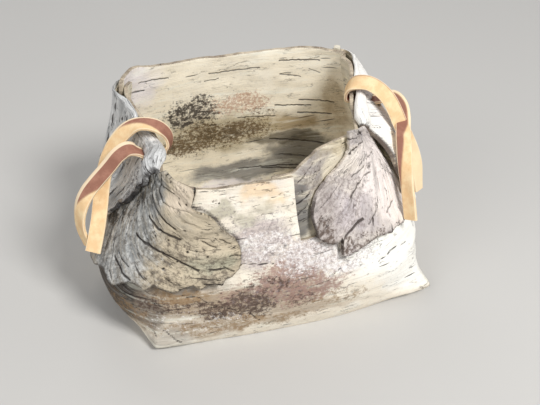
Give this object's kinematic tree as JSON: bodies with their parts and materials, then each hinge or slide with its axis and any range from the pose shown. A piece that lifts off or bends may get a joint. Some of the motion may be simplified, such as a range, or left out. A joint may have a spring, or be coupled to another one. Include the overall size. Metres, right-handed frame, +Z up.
{
  "type": "bark box",
  "caption": "Open box folded from birch bark, with a rounded bottom, gathered and pleated flaps at both ends, and leather laces through holes near the rim.",
  "frame": {"origin": "middle of the flat base that the box rests on", "axes": "+X along the box's length to its right end, -Y out of the front panel, +Z up to the mouth"},
  "size_m": [0.1936, 0.1251, 0.1196],
  "materials": {
    "outer_bark": "pale birch bark, matt, with dark lenticels and brown stains",
    "inner_bark": "smooth inner birch bark, cream to olive grey",
    "flap_bark": "weathered birch bark, lavender grey, with curving dark lenticels",
    "pale_bark": "white birch bark, matt, with a grey edge",
    "leather_lace": "smooth reddish brown on one face, tan suede on the other"
  },
  "bodies": {
    "root": {"main_sheet": "outer_bark", "left_end_wall": "inner_bark", "right_end_wall": "inner_bark", "left_front_flap": "flap_bark", "right_front_flap": "flap_bark", "left_back_flap": "pale_bark", "right_back_flap": "pale_bark", "left_lace_over_rim": "leather_lace", "left_lace_outside": "leather_lace", "right_lace_over_rim": "leather_lace", "right_lace_outside": "leather_lace"}
  },
  "joints": []
}
